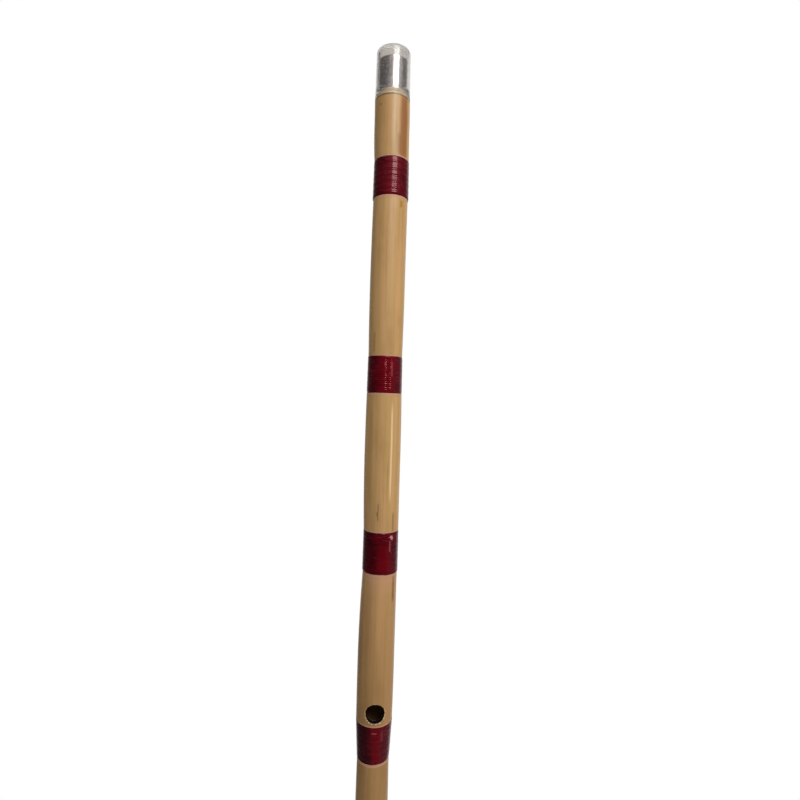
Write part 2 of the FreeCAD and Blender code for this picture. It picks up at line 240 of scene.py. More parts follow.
def block_mask(heights, holes):
    """Which quads of a tube's grid stay: all but the blocks of rows and columns round each hole."""
    keep = np.ones((len(heights) - 1, COLUMNS), dtype=bool)
    middle = (heights[:-1] + heights[1:]) / 2
    column = np.arange(COLUMNS)
    for side, height, _, _ in holes:
        centre = round(side / (2 * math.pi) * COLUMNS)
        near = (column - centre + HOLE_COLUMNS // 2) % COLUMNS < HOLE_COLUMNS
        keep &= ~((np.abs(middle - height) < HOLE_BLOCK)[:, None] & near[None, :])
    return keep


def block_border(side, height, rows):
    """Angles and heights of the points round the border of a hole's block, once round."""
    reach = HOLE_COLUMNS / COLUMNS * math.pi
    across = np.linspace(-reach, reach, HOLE_COLUMNS + 1)
    down = np.linspace(HOLE_BLOCK, -HOLE_BLOCK, rows + 1)
    angle = np.concatenate([
        across[:-1], np.full(rows, reach), across[:0:-1], np.full(rows, -reach),
    ])
    level = np.concatenate([
        np.full(HOLE_COLUMNS, HOLE_BLOCK), down[:-1],
        np.full(HOLE_COLUMNS, -HOLE_BLOCK), down[:0:-1],
    ])
    return side + angle, height + level


def skin_patch(rings, hole):
    """The skin from a block's border in to a finger hole, then the hole's rounded rim and its wall
    straight in to the bore. It gives both grids and where the wall meets the bore."""
    side, height, radius, rows = hole
    facing = math.cos(side)
    border_angle, border_height = block_border(side, height, rows)
    outline, _ = internode_outline(rings, np.array([height]))
    turn = np.arctan2(border_height - height, outline * np.sin(border_angle - side))
    across, up = np.cos(turn), np.sin(turn)
    radius = radius * (1 + HOLE_FILED * np.sin(2 * turn) ** 2 * (up < 0))
    rim_height = height + (radius + HOLE_ROUND) * up
    outline, shift = internode_outline(rings, rim_height)
    rim_angle = side + np.arcsin(((radius + HOLE_ROUND) * across - facing * shift) / outline)
    share = (1 - (1 - np.linspace(0, 1, PATCH_ROWS)) ** PATCH_CROWDING)[:, None]
    angle = border_angle + (rim_angle - border_angle) * share
    level = border_height + (rim_height - border_height) * share
    points, values = skin_points(rings, angle, level)
    gap = np.hypot(points[..., 0], points[..., 2] - height) - radius - HOLE_ROUND
    values["chipped"] = (1 - fade(gap, 0.0, CHIPPED_WIDTH)) * (CHIPPED_SIDES - CHIPPED_LEAN * up)
    columns = len(turn)
    skin = {"points": points, "quads": grid_quads(len(share), columns, True), "values": values}

    wall = np.stack([facing * radius * across, height + radius * up], axis=-1)
    bore_depth = -facing * np.sqrt(CHAMBER_RADIUS ** 2 - wall[:, 0] ** 2)
    rim = points[-1]
    quarter = np.linspace(0, math.pi / 2, 6)[:, None]
    rim_round = rim[:, 1] + facing * HOLE_ROUND * (1 - np.cos(quarter))
    inwards = 1 - np.sin(quarter)
    rim_points = np.stack([
        wall[:, 0] + (rim[:, 0] - wall[:, 0]) * inwards, rim_round,
        wall[:, 1] + (rim[:, 2] - wall[:, 1]) * inwards,
    ], axis=-1)
    depth = np.linspace(0, 1, 6)[1:, None]
    wall_depth = rim_round[-1] + (bore_depth - rim_round[-1]) * depth
    wall_points = np.stack(np.broadcast_arrays(wall[:, 0], wall_depth, wall[:, 1]), axis=-1)
    points = np.concatenate([rim_points, wall_points])
    shape = points.shape[:2]
    values = plain_values(shape)
    values["burn"] += np.concatenate([fade(1 - inwards, 0.35, 0.9), np.ones_like(depth)])
    values["chipped"] += np.concatenate([inwards, np.zeros_like(depth)])
    values["skin"] += np.concatenate([fade(inwards, 0.0, 0.5), np.zeros_like(depth)])
    hole_wall = {
        "points": points, "quads": grid_quads(shape[0], columns, True), "values": values,
    }
    return skin, hole_wall, wall


def plain_values(shape, skin=0.0, inside=0.0):
    """Point values of a cut or bored surface."""
    return {
        "skin": np.full(shape, skin), "scraped": np.zeros(shape), "chipped": np.zeros(shape),
        "burn": np.zeros(shape), "inside": np.full(shape, inside),
    }


def turned_sheet(outline, shift=0.0, inside=0.0):
    """A surface turned round the upright axis through its pairs of radius and height."""
    radius, height = (np.array(part)[:, None] for part in zip(*outline))
    points = round_points(radius, COLUMN_ANGLES, height, shift)
    shape = points.shape[:2]
    return {
        "points": points, "quads": grid_quads(*shape, True),
        "values": plain_values(shape, inside=inside),
    }


def edge_ring(upper, lower):
    """The step between the skin and a land: the quads that join two rings of points."""
    return {
        "points": np.stack([upper, lower]), "quads": grid_quads(2, COLUMNS, True),
        "values": plain_values((2, COLUMNS)),
    }


def arc(centre, radius, start, end, steps):
    """Pairs of radius and height along an arc, from one angle to the other, in degrees."""
    angle = np.radians(np.linspace(start, end, steps + 1))
    return list(zip(centre[0] + radius * np.cos(angle), centre[1] + radius * np.sin(angle)))


reed_sheets = []
walls = {}
for rings, band in zip(internodes, bands + [None]):
    is_top, is_foot = rings is internodes[0], band is None
    holes = holes_between(rings[0][0], rings[2][0])
    heights = internode_heights(rings, holes)
    if is_top:
        heights = np.minimum(heights, SHOULDER_HEIGHT - SHOULDER_ROUND)
    if is_foot:
        heights = np.maximum(heights, FOOT_ROUND)
    keep = block_mask(heights, holes)
    angle, level = np.broadcast_arrays(COLUMN_ANGLES[None, :], heights[:, None])
    points, values = skin_points(rings, angle, level)
    reed_sheets.append({
        "points": points, "quads": grid_quads(len(heights), COLUMNS, True, keep), "values": values,
    })
    if is_top:
        shoulder = turned_sheet(
            [(SEAT_RADIUS, SPIGOT_TOP), (SPIGOT_RADIUS - 0.1, SPIGOT_TOP)]
            + [(SPIGOT_RADIUS, SPIGOT_TOP - 0.1), (SPIGOT_RADIUS, SHOULDER_HEIGHT)]
            + arc((SHOULDER_RADIUS - SHOULDER_ROUND, SHOULDER_HEIGHT - SHOULDER_ROUND),
                  SHOULDER_ROUND, 90, 0, 6)
        )
        shoulder["points"][-1] = points[0]
        shoulder["values"]["skin"][-1] = 1.0
        reed_sheets.append(shoulder)
    else:
        reed_sheets.append(edge_ring(land_end, points[0]))
    for hole in holes:
        skin, hole_wall, wall = skin_patch(rings, hole)
        walls[hole] = wall
        reed_sheets += [skin, hole_wall]
    if is_foot:
        foot = turned_sheet(
            arc((FOOT_RADIUS - FOOT_ROUND, FOOT_ROUND), FOOT_ROUND, 0, -90, 6)
            + [(FOOT_BORE_RADIUS, 0.0)]
        )
        foot["points"][0] = points[-1]
        foot["values"]["skin"][0] = 1.0
        reed_sheets.append(foot)
    else:
        land = turned_sheet(
            [(band["top_radius"] - BINDING_DEPTH, band["top"]),
             (band["bottom_radius"] - BINDING_DEPTH, band["bottom"])], band["shift"]
        )
        land_end = land["points"][-1]
        reed_sheets += [land, edge_ring(points[-1], land["points"][0])]

# The bore, from the foot up: a reamed foot, then chambers between what is left of the node walls
bore = [(FOOT_BORE_RADIUS, 0.0), (FOOT_BORE_RADIUS, FOOT_BORE_DEPTH)]
for band in reversed(bands):
    node = (band["top"] + band["bottom"]) / 2
    chamber_end = node - NODE_WALL_HALF - NODE_WALL_SLOPE
    if chamber_end > FOOT_BORE_DEPTH:
        for _, height, _, rows in sorted(holes_between(chamber_end, bore[-1][1]),
                                         key=lambda hole: hole[1]):
            level = np.linspace(height - HOLE_BLOCK, height + HOLE_BLOCK, rows + 1)
            bore += [(CHAMBER_RADIUS, step) for step in level]
        bore.append((CHAMBER_RADIUS, chamber_end))
        bore.append((NODE_BORE_RADIUS, node - NODE_WALL_HALF))
    else:
        bore.append((NODE_BORE_RADIUS, FOOT_BORE_DEPTH))
    bore.append((NODE_BORE_RADIUS, node + NODE_WALL_HALF))
    bore.append((CHAMBER_RADIUS, node + NODE_WALL_HALF + NODE_WALL_SLOPE))
bore += [(CHAMBER_RADIUS, SEAT_HEIGHT), (SEAT_RADIUS, SEAT_HEIGHT), (SEAT_RADIUS, SPIGOT_TOP)]
bore_sheet = turned_sheet(bore, inside=1.0)
bore_heights = np.array([height for _, height in bore])
bore_sheet["quads"] = grid_quads(len(bore), COLUMNS, True, block_mask(bore_heights, HOLES))
reed_sheets.append(bore_sheet)
for hole, wall in walls.items():
    side, height, _, rows = hole
    border_angle, border_height = block_border(side, height, rows)
    edge_angle = side + np.arcsin(math.cos(side) * wall[:, 0] / CHAMBER_RADIUS)
    share = np.linspace(0, 1, 5)[:, None]
    angle = border_angle + (edge_angle - border_angle) * share
    level = border_height + (wall[:, 1] - border_height) * share
    reed_sheets.append({
        "points": round_points(CHAMBER_RADIUS, angle, level),
        "quads": grid_quads(len(share), len(wall), True),
        "values": plain_values(angle.shape, inside=1.0),
    })

reed = make_piece("cane_tube", reed_sheets)
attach(reed, "flute")
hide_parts("reed_tube")


class Nodes:
    """Places shader nodes in a tree and links them, left to right."""

    def __init__(self, tree):
        self.tree = tree
        self.count = 0

    def add(self, kind, settings=None, **inputs):
        """A new node. Settings are its properties. An input is a number, a colour or a socket."""
        node = self.tree.nodes.new(kind)
        node.location = (220 * self.count, -60 * (self.count % 7))
        self.count += 1
        for name, value in (settings or {}).items():
            setattr(node, name, value)
        for name, value in inputs.items():
            index = name[2:].replace("_", " ")
            socket = node.inputs[int(index)] if index.isdigit() else node.inputs[index]
            if isinstance(value, bpy.types.NodeSocket):
                self.tree.links.new(value, socket)
            else:
                socket.default_value = value
        return node

    def stored(self, name):
        """A point value of the mesh."""
        return self.add("ShaderNodeAttribute", {"attribute_name": name}).outputs["Fac"]

    def math(self, operation, first, second=0.0, clamp=False):
        node = self.add("ShaderNodeMath", {"operation": operation, "use_clamp": clamp},
                        i_0=first, i_1=second)
        return node.outputs[0]

    def ramp(self, value, low, high, start=0.0, end=1.0):
        """A smooth step of a value between low and high, onto start to end."""
        node = self.add("ShaderNodeMapRange", {"interpolation_type": "SMOOTHSTEP"},
                        i_Value=value, i_1=low, i_2=high, i_3=start, i_4=end)
        return node.outputs[0]

    def mix(self, share, first, second):
        """Two colours mixed by a share."""
        node = self.add("ShaderNodeMix", {"data_type": "RGBA"}, i_0=share, i_6=first, i_7=second)
        return node.outputs[2]

    def noise(self, vector, scale, detail=2.0, roughness=0.5, distortion=0.0):
        node = self.add("ShaderNodeTexNoise", i_Vector=vector, i_Scale=scale, i_Detail=detail,
                        i_Roughness=roughness, i_Distortion=distortion)
        return node.outputs["Fac"]

    def stretched(self, vector, x, y, z):
        """A position scaled by its own factor along each axis."""
        node = self.add("ShaderNodeMapping", i_Vector=vector, i_Scale=(x, y, z))
        return node.outputs[0]

    def principled(self, tint, roughness, relief, strength, depth, fixed):
        """The end of a material: its relief as a bump of a depth in mm, its shader with the values
        that are the same all over, and the output."""
        bump = self.add("ShaderNodeBump", i_Strength=strength, i_Distance=depth * MM, i_Height=relief)
        shader = self.add("ShaderNodeBsdfPrincipled", i_Base_Color=tint, i_Roughness=roughness,
                          i_Normal=bump.outputs[0])
        for name, value in fixed.items():
            shader.inputs[name].default_value = value
        self.add("ShaderNodeOutputMaterial", i_Surface=shader.outputs[0])


def colour(red, green, blue):
    """A colour written as it looks on a screen, from 0 to 255, as the linear values that a shader
    takes."""
    shown = np.array([red, green, blue]) / 255
    linear = np.where(shown <= 0.04045, shown / 12.92, ((shown + 0.055) / 1.055) ** 2.4)
    return (*linear.tolist(), 1.0)


def new_material(name):
    """A material with an empty tree, its nodes, and the position on the piece that feeds them."""
    material = bpy.data.materials.new(name)
    material.use_nodes = True
    material.node_tree.nodes.clear()
    nodes = Nodes(material.node_tree)
    return material, nodes, nodes.add("ShaderNodeTexCoord").outputs["Object"]


def new_group(name, inputs, outputs):
    """An empty node group with named float or vector inputs and outputs, and its two end nodes."""
    tree = bpy.data.node_groups.new(name, "ShaderNodeTree")
    for in_out, sockets in (("INPUT", inputs), ("OUTPUT", outputs)):
        for socket, kind in sockets.items():
            tree.interface.new_socket(socket, in_out=in_out, socket_type="NodeSocket" + kind)
    nodes = Nodes(tree)
    return tree, nodes, nodes.add("NodeGroupInput").outputs, nodes.add("NodeGroupOutput").inputs


# A soft patch on a round surface, between two heights and about one angle, with a wandering edge
patch_tree, patch, given, result = new_group(
    "soft_patch",
    {"Position": "Vector", "Angle": "Float", "Height": "Float",
     "Half Width": "Float", "Half Length": "Float", "Wander": "Float"},
    {"Mask": "Float"},
)
place = patch.add("ShaderNodeSeparateXYZ", i_0=given["Position"]).outputs
around = patch.math("ARCTAN2", place[0], patch.math("MULTIPLY", place[1], -1.0))
wobble = patch.noise(patch.stretched(given["Position"], 1.0, 1.0, 0.4), 260.0, 3.0)
wobble = patch.math("MULTIPLY", patch.math("SUBTRACT", wobble, 0.5), given["Wander"])
off_angle = patch.math("ABSOLUTE", patch.math("SUBTRACT", patch.math("ADD", around, wobble),
                                              given["Angle"]))
off_height = patch.math("ABSOLUTE", patch.math("SUBTRACT", place[2], given["Height"]))
across = patch.math("SUBTRACT", 1.0, patch.math("DIVIDE", off_angle, given["Half Width"]))
along = patch.math("SUBTRACT", 1.0, patch.math("DIVIDE", off_height, given["Half Length"]))
mask = patch.math("MULTIPLY", patch.ramp(across, 0.0, 0.6), patch.ramp(along, 0.0, 0.35))
patch.tree.links.new(mask, result["Mask"])


def soft_patch(nodes, position, angle, half_width, height, half_length, wander):
    """Mask of a stain or a painted light mark: angle from -Y and half width in degrees, height and half
    length in mm.
    """
    group = nodes.add(
        "ShaderNodeGroup", {"node_tree": patch_tree}, i_Position=position,
        i_Angle=math.radians(angle), i_Height=height * MM,
        i_Half_Width=math.radians(half_width), i_Half_Length=half_length * MM,
        i_Wander=math.radians(wander),
    )
    return group.outputs["Mask"]


def tinted_by_marks(nodes, position, tint, stains):
    """A tint under stains and painted light, each mixed in by its mask and its strength."""
    for stain, *place, strength in stains:
        mask = soft_patch(nodes, position, *place)
        tint = nodes.mix(nodes.math("MULTIPLY", mask, strength), tint, stain)
    return tint


CANE_STRAW = colour(194, 154, 98)
CANE_OLIVE = colour(174, 140, 80)
CANE_PINK = colour(204, 153, 106)
CANE_BROWN = colour(142, 96, 52)
# Darker cane, for the growth lines and for the painted shade low down
CANE_GRAIN_AND_SHADE = colour(124, 84, 44)
SCRAPED_PINK = colour(198, 146, 120)
SCRAPED_EDGE = colour(168, 122, 72)
# Painted shadow under the cap's mouth
PAINTED_SHADOW_BROWN = colour(86, 58, 34)
CHIP_PALE = colour(226, 204, 168)
STREAK_BROWN = colour(130, 74, 36)
AMBER = colour(164, 112, 42)
# Painted highlight: a pale line where the lamp on the right would be reflected
PAINTED_HIGHLIGHT_LINE = colour(232, 196, 148)
GREY_MARK = colour(104, 84, 52)
END_GRAIN = colour(222, 206, 178)
END_PORES = colour(170, 146, 112)
BURNT = colour(20, 12, 9)
BORE_BROWN = colour(118, 84, 50)
# Painted shade: the cane is darker below the first height than above the second, where less light falls
SHADE_BELOW, SHADE_ABOVE = 256, 405
# Spacing of the growth lines, and how far they wander, in radians of their wave
GROWTH_SPACING, GROWTH_WANDER = 0.9, 9.0
# Stains, and a painted highlight line: colour, angle from -Y and half width in degrees, height and half
# length, wander, strength
STAINS_AND_HIGHLIGHT = (
    (STREAK_BROWN, 41, 21, 598, 23, 10, 0.7),
    (STREAK_BROWN, 24, 9, 588, 7, 10, 0.35),
    (GREY_MARK, -43, 6, 611, 0.9, 12, 0.45),
    (AMBER, 38, 7, 553.2, 2.3, 5, 0.85),
    (STREAK_BROWN, -43, 6, 472, 7, 8, 0.35),
    (STREAK_BROWN, 52, 8, 328, 9, 6, 0.7),
    (STREAK_BROWN, -44, 12, 404, 34, 14, 0.12),
    (STREAK_BROWN, -30, 14, 312, 24, 16, 0.12),
    (GREY_MARK, -10, 3.2, 373, 6, 5, 0.55),
    (GREY_MARK, -13, 3.2, 372, 1.6, 4, 0.5),
    (GREY_MARK, 41, 5.0, 366, 8, 5, 0.5),
    # Painted highlight: a pale line on the third internode
    (PAINTED_HIGHLIGHT_LINE, 27, 4.6, 408, 32, 2, 0.75),
    (PAINTED_HIGHLIGHT_LINE, 27, 2.6, 406, 20, 2, 0.6),
    (CANE_PINK, 3, 13, 345, 60, 12, 0.3),
    (SCRAPED_PINK, 5, 80, 337, 6, 12, 0.22),
    (SCRAPED_PINK, 5, 70, 335, 11, 16, 0.2),
)

cane, nodes, position = new_material("sanded_cane")
fibre = nodes.noise(nodes.stretched(position, 1.0, 1.0, 0.016), 1500.0, 3.0, 0.6)
threads = nodes.noise(nodes.stretched(position, 1.0, 1.0, 0.006), 5200.0, 2.0)
tone = nodes.noise(nodes.stretched(position, 1.0, 1.0, 0.03), 330.0, 2.0, 0.5, 0.2)
blotch = nodes.noise(nodes.stretched(position, 1.0, 1.0, 0.35), 75.0, 3.0, 0.6)
tint = nodes.mix(nodes.ramp(tone, 0.36, 0.64), CANE_OLIVE, CANE_PINK)
tint = nodes.mix(0.4, CANE_STRAW, tint)
tint = nodes.mix(nodes.ramp(blotch, 0.42, 0.75, 0.0, 0.3), tint, CANE_BROWN)
level = nodes.add("ShaderNodeSeparateXYZ", i_0=position).outputs[2]
# Painted shade, darker towards the bottom
painted_shade = nodes.ramp(level, SHADE_BELOW * MM, SHADE_ABOVE * MM, 0.42, 0.0)
tint = nodes.mix(painted_shade, tint, CANE_GRAIN_AND_SHADE)
tint = nodes.mix(nodes.ramp(fibre, 0.5, 0.78, 0.0, 0.32), tint, CANE_BROWN)
vein = nodes.noise(nodes.stretched(position, 1.0, 1.0, 0.02), 620.0, 2.0, 0.5, 0.4)
tint = nodes.mix(nodes.ramp(vein, 0.66, 0.76, 0.0, 0.28), tint, STREAK_BROWN)
# Growth lines curve round the thumb hole, where the skin is sanded thin
from_hole = nodes.add("ShaderNodeVectorMath", {"operation": "SUBTRACT"}, i_0=position,
                      i_1=(0.0, 0.0, HOLES[0][1] * MM)).outputs[0]
reach = nodes.add("ShaderNodeVectorMath", {"operation": "LENGTH"},
                  i_0=nodes.stretched(from_hole, 1.0, 0.0, 0.7)).outputs["Value"]
growth = nodes.math("ADD", nodes.math("MULTIPLY", reach, 2 * math.pi / (GROWTH_SPACING * MM)),
                    nodes.math("MULTIPLY", blotch, GROWTH_WANDER))
growth = nodes.ramp(nodes.math("SINE", growth), 0.1, 1.0, 0.0, 0.24)
thinned = soft_patch(nodes, position, -14, 34, 250, 12, 10)
tint = nodes.mix(nodes.math("MULTIPLY", growth, thinned), tint, CANE_GRAIN_AND_SHADE)
tint = tinted_by_marks(nodes, position, tint, STAINS_AND_HIGHLIGHT)
# Painted shadow: a dark line round the shoulder, just under the cap's mouth
cap_shadow = nodes.ramp(level, (SHOULDER_HEIGHT - 1.6) * MM, (SHOULDER_HEIGHT - 0.6) * MM)
tint = nodes.mix(nodes.math("MULTIPLY", cap_shadow, nodes.ramp(blotch, 0.35, 0.6, 0.35, 0.9)),
                 tint, PAINTED_SHADOW_BROWN)
scraped = nodes.stored("scraped")
tint = nodes.mix(nodes.ramp(scraped, 0.02, 0.25, 0.0, 0.35), tint, SCRAPED_EDGE)
tint = nodes.mix(nodes.ramp(scraped, 0.3, 0.8, 0.0, 0.65), tint, SCRAPED_PINK)
chipped = nodes.ramp(nodes.stored("chipped"), 0.2, 0.8)
chips = nodes.ramp(nodes.noise(position, 1100.0, 2.0), 0.5, 0.6)
tint = nodes.mix(nodes.math("MULTIPLY", chipped, chips), tint, CHIP_PALE)
pores = nodes.add("ShaderNodeTexVoronoi", i_Vector=nodes.stretched(position, 1.0, 1.0, 0.02),
                  i_Scale=1300.0).outputs["Distance"]
grain = nodes.mix(nodes.ramp(pores, 0.2, 0.5, 1.0, 0.0), END_GRAIN, END_PORES)
tint = nodes.mix(nodes.ramp(nodes.stored("skin"), 0.1, 0.6), grain, tint)
tint = nodes.mix(nodes.stored("inside"), tint, BORE_BROWN)
char = nodes.noise(position, 900.0, 3.0, 0.6)
burn = nodes.math("SUBTRACT", nodes.math("MULTIPLY", nodes.stored("burn"), 1.5),
                  nodes.math("MULTIPLY", char, 0.7))
tint = nodes.mix(nodes.ramp(burn, 0.0, 0.5), tint, BURNT)
roughness = nodes.ramp(fibre, 0.3, 0.7, 0.36, 0.5)
roughness = nodes.math("ADD", roughness, nodes.math("MULTIPLY", scraped, 0.12), clamp=True)
relief = nodes.math("ADD", fibre, nodes.math("MULTIPLY", threads, 0.5))
nodes.principled(tint, roughness, relief, 0.35, 0.06, {"Specular IOR Level": 0.45})
reed.data.materials.append(cane)


# Each binding is one lacquered thread, wound tightly round the scraped node from the top down, with
# its tail caught under the turns. Clear maroon lacquer fills the grooves between the turns.
THREAD_TURNS, THREAD_STEPS, SECTION_POINTS = 18, 180, 16
THREAD_THICKNESS, THREAD_SPREAD = 0.5, 1.04
PLIES, PLY_PITCH = 2, 0.55
# Unevenness of the turns: drift down the binding in pitches, and how far they are pressed in
THREAD_DRIFT, THREAD_PRESS = 0.045, 0.02
# Both ends of a thread dive under the turns: how deep, and within what share of a turn
DIVE_DEPTH, DIVE_TURNS = 0.3, 0.03
# Waves of the lacquer: depth, length, and how far they wander, in waves
WAVE_DEPTH, WAVE_LENGTH, WAVE_WANDER = 0.055, 3.7, 0.8
# How far the ribs stand out of the lacquer at each binding's top and bottom, how much more they do
# at most over a tail or knot, and how far under the ribs' grooves the first layer lies
RIB_DEPTHS = ((0.015, 0.045), (0.03, 0.1), (0.05, 0.03), (0.03, 0.03), (0.05, 0.08), (0.06, 0.04))
RIB_GAIN, BED_GAP = 0.15, 0.03
# Rows of points down the first layer, and the power that squares its section's ends
BED_ROWS, BED_SQUARENESS = 60, 50
# Where each thread starts at the top, as an angle from -Y in degrees
THREAD_STARTS = (145, -1, 7, 195, 135, 225)
# Buried tails: angle from -Y, top and bottom as shares down the binding, height of the ridge, sway
TAIL_HALF_WIDTH, TAIL_END = 0.65, 0.03
# A tail sways in two waves, given in radians from the binding's top to its bottom
TAIL_WAVES = (34.0, 71.0)
TAILS = {
    1: ((25, 0.4, 0.95, 0.12, 1.2),),
    2: ((-2, 0.08, 0.97, 0.13, 0.8), (19, 0.08, 0.97, 0.18, 1.0)),
    3: ((30, 0.1, 0.55, 0.3, 1.4), (14, 0.3, 0.6, 0.1, 1.0)),
    4: ((13, 0.1, 0.8, 0.06, 2.5),),
    5: ((-20, 0.1, 0.7, 0.1, 2.0),),
    6: ((40, 0.2, 0.8, 0.1, 2.0),),
}
# Knots under the turns: angle from -Y, share down the binding, height, half width, half length
KNOTS = {3: ((31, 0.14, 1.0, 1.2, 1.0), (17, 0.17, 0.4, 0.9, 0.8))}
# About the length of a binding
BINDING_LENGTH = 20.0


def lacquer_waves(number, angle, height):
    """How far the lacquer's surface sinks, in mm: a cosine down the binding whose phase wanders."""
    wander = ripple(angle, height, 70 + number, 6, 1, 7.0)
    phase = height / WAVE_LENGTH + WAVE_WANDER * wander
    return WAVE_DEPTH * (0.5 + 0.5 * np.cos(2 * math.pi * phase))


def lifted(number, angle, share, radius):
    """How far buried tails and knots lift the turns, in mm: ridges whose section is a bell curve,
    from their top to their bottom, and lumps that are bell curves both ways."""
    lift = 0.0
    for tail_angle, start, end, ridge, sway in TAILS[number]:
        along = fade(share, start, start + TAIL_END) * (1 - fade(share, end - TAIL_END, end))
        bend = np.sin(share * TAIL_WAVES[0] + number) + 0.5 * np.sin(share * TAIL_WAVES[1])
        off = angle - np.radians(tail_angle + sway * bend)
        off = (off + math.pi) % (2 * math.pi) - math.pi
        lift = lift + ridge * along * np.exp(-((off * radius / TAIL_HALF_WIDTH) ** 2))
    for knot_angle, place, height, half_width, half_length in KNOTS.get(number, ()):
        off = (angle - math.radians(knot_angle) + math.pi) % (2 * math.pi) - math.pi
        along = (share - place) * BINDING_LENGTH / half_length
        lift = lift + height * np.exp(-((off * radius / half_width) ** 2) - along ** 2)
    return lift


def wound_thread(number, band):
    """A flattened strand along a helix. With t turns done, its middle is at the start angle less t
    turns and at t pitches below the top. The section's outer side falls by a squared sine from its
    middle to both edges, where the next turns meet it, and its inner side is half an ellipse."""
    draw = np.random.default_rng(40 + number)
    turns = np.linspace(0, THREAD_TURNS, THREAD_TURNS * THREAD_STEPS + 1)
    angle = math.radians(THREAD_STARTS[number - 1]) - 2 * math.pi * turns
    pitch = (band["top"] - band["bottom"]) / (THREAD_TURNS + 1)
    marks = np.arange(THREAD_TURNS + 2)
    drift = np.interp(turns, marks, draw.normal(0, THREAD_DRIFT, len(marks)))
    drift = drift * fade(turns, 0, 1) * (1 - fade(turns, THREAD_TURNS - 1, THREAD_TURNS))
    section = (np.arange(SECTION_POINTS) / SECTION_POINTS * 2 * math.pi)[:, None]
    across = THREAD_SPREAD * np.sin(section)
    level = band["top"] - pitch * (turns + 0.5 - drift) + pitch / 2 * across
    share = np.clip((band["top"] - level) / (band["top"] - band["bottom"]), 0, 1)
    outer = band["top_radius"] + (band["bottom_radius"] - band["top_radius"]) * share
    press = np.interp(turns, marks, draw.uniform(0, THREAD_PRESS, len(marks)))
    lift = lifted(number, angle, share, outer)
    outer = outer - press - lacquer_waves(number, angle, level) + lift
    rib_top, rib_bottom = RIB_DEPTHS[number - 1]
    rib = rib_top + (rib_bottom - rib_top) * share + np.minimum(lift, RIB_GAIN)
    under = (THREAD_THICKNESS - rib) * np.clip(-np.cos(section), 0, 1)
    risen = fade(turns, 0, DIVE_TURNS) * (1 - fade(turns, THREAD_TURNS - DIVE_TURNS, THREAD_TURNS))
    radius = outer - rib * np.sin(across * math.pi / 2) ** 2 - under - DIVE_DEPTH * (1 - risen)
    points = round_points(radius, angle, level, band["shift"]).transpose(1, 0, 2)
    first, last = (points[end].mean(axis=0) for end in (0, -1))
    ends = [np.broadcast_to(end, (1, SECTION_POINTS, 3)) for end in (first, last)]
    points = np.concatenate([ends[0], points, ends[1]])
    turns = np.concatenate([turns[:1], turns, turns[-1:]])
    length = np.broadcast_to((turns * 2 * math.pi * band["top_radius"])[:, None], points.shape[:2])
    lay = np.broadcast_to(np.arange(SECTION_POINTS) / SECTION_POINTS, points.shape[:2])
    return {
        "points": points, "quads": grid_quads(len(points), SECTION_POINTS, True),
        "values": {"length": length, "lay": lay},
    }


def lacquer_bed(number, band):
    """The lacquered first layer: a sleeve on the land, up to the depth that the grooves keep."""
    angle = COLUMN_ANGLES[None, :]
    share = np.linspace(0, 1, BED_ROWS)[:, None]
    height = band["top"] + (band["bottom"] - band["top"]) * share
    outer = band["top_radius"] + (band["bottom_radius"] - band["top_radius"]) * share
    land = outer - BINDING_DEPTH + np.zeros_like(angle)
    rounded = np.sqrt(np.clip(1 - (np.abs(share - 0.5) * 2) ** BED_SQUARENESS, 0, 1))
    rib_top, rib_bottom = RIB_DEPTHS[number - 1]
    groove = rib_top + (rib_bottom - rib_top) * share + BED_GAP
    depth = BINDING_DEPTH - groove - lacquer_waves(number, angle, height)
    outer = land + depth * rounded
    radius = np.concatenate([outer, land[::-1]])
    points = round_points(radius, angle, np.concatenate([height, height[::-1]]), band["shift"])
    points = np.concatenate([points, points[:1]])
    shape = points.shape[:2]
    return {
        "points": points, "quads": grid_quads(*shape, True),
        "values": {"length": np.zeros(shape), "lay": np.zeros(shape)},
    }


MAROON = colour(82, 2, 15)
MAROON_DEEP = colour(58, 1, 10)
# A deeper red, in random patches and as a painted sheen
MAROON_RED_AND_SHEEN = colour(104, 3, 14)
# Painted shade on the bindings' left sides
MAROON_SHADE = colour(34, 1, 7)
# Painted glints on the knot, the tails and the turns
PAINTED_GLINT_PALE = colour(214, 142, 150)
PAINTED_GLINT_PINK = colour(150, 72, 80)
SHEEN_RED = colour(255, 50, 70)
# Painted light on the lacquer: painted shade on the left of the lower bindings, a painted sheen of deeper
# red where the light falls, and painted glints on the knot, the tails and the turns. They are written as the
# cane's stains are.
LACQUER_PAINTED_LIGHT = (
    (MAROON_SHADE, -50, 50, 234, 22, 12, 0.7),
    (MAROON_RED_AND_SHEEN, 8, 24, 234, 20, 12, 0.7),
    (MAROON_RED_AND_SHEEN, 14, 30, 346, 9, 12, 0.7),
    (MAROON_RED_AND_SHEEN, 8, 40, 453, 16, 14, 0.6),
    (MAROON_SHADE, -45, 34, 352, 16, 12, 0.4),
    (PAINTED_GLINT_PINK, 31.5, 3, 353.4, 4, 2, 0.75),
    (PAINTED_GLINT_PALE, 35.5, 6, 358.4, 1.2, 4, 0.8),
    (PAINTED_GLINT_PINK, -1, 11, 245, 0.55, 4, 0.75),
    (PAINTED_GLINT_PINK, 24, 6, 243, 3.5, 4, 0.22),
    (PAINTED_GLINT_PINK, 0, 5, 459.5, 1.2, 4, 0.6),
    (PAINTED_GLINT_PINK, 22, 3.5, 456.5, 5, 3, 0.5),
)

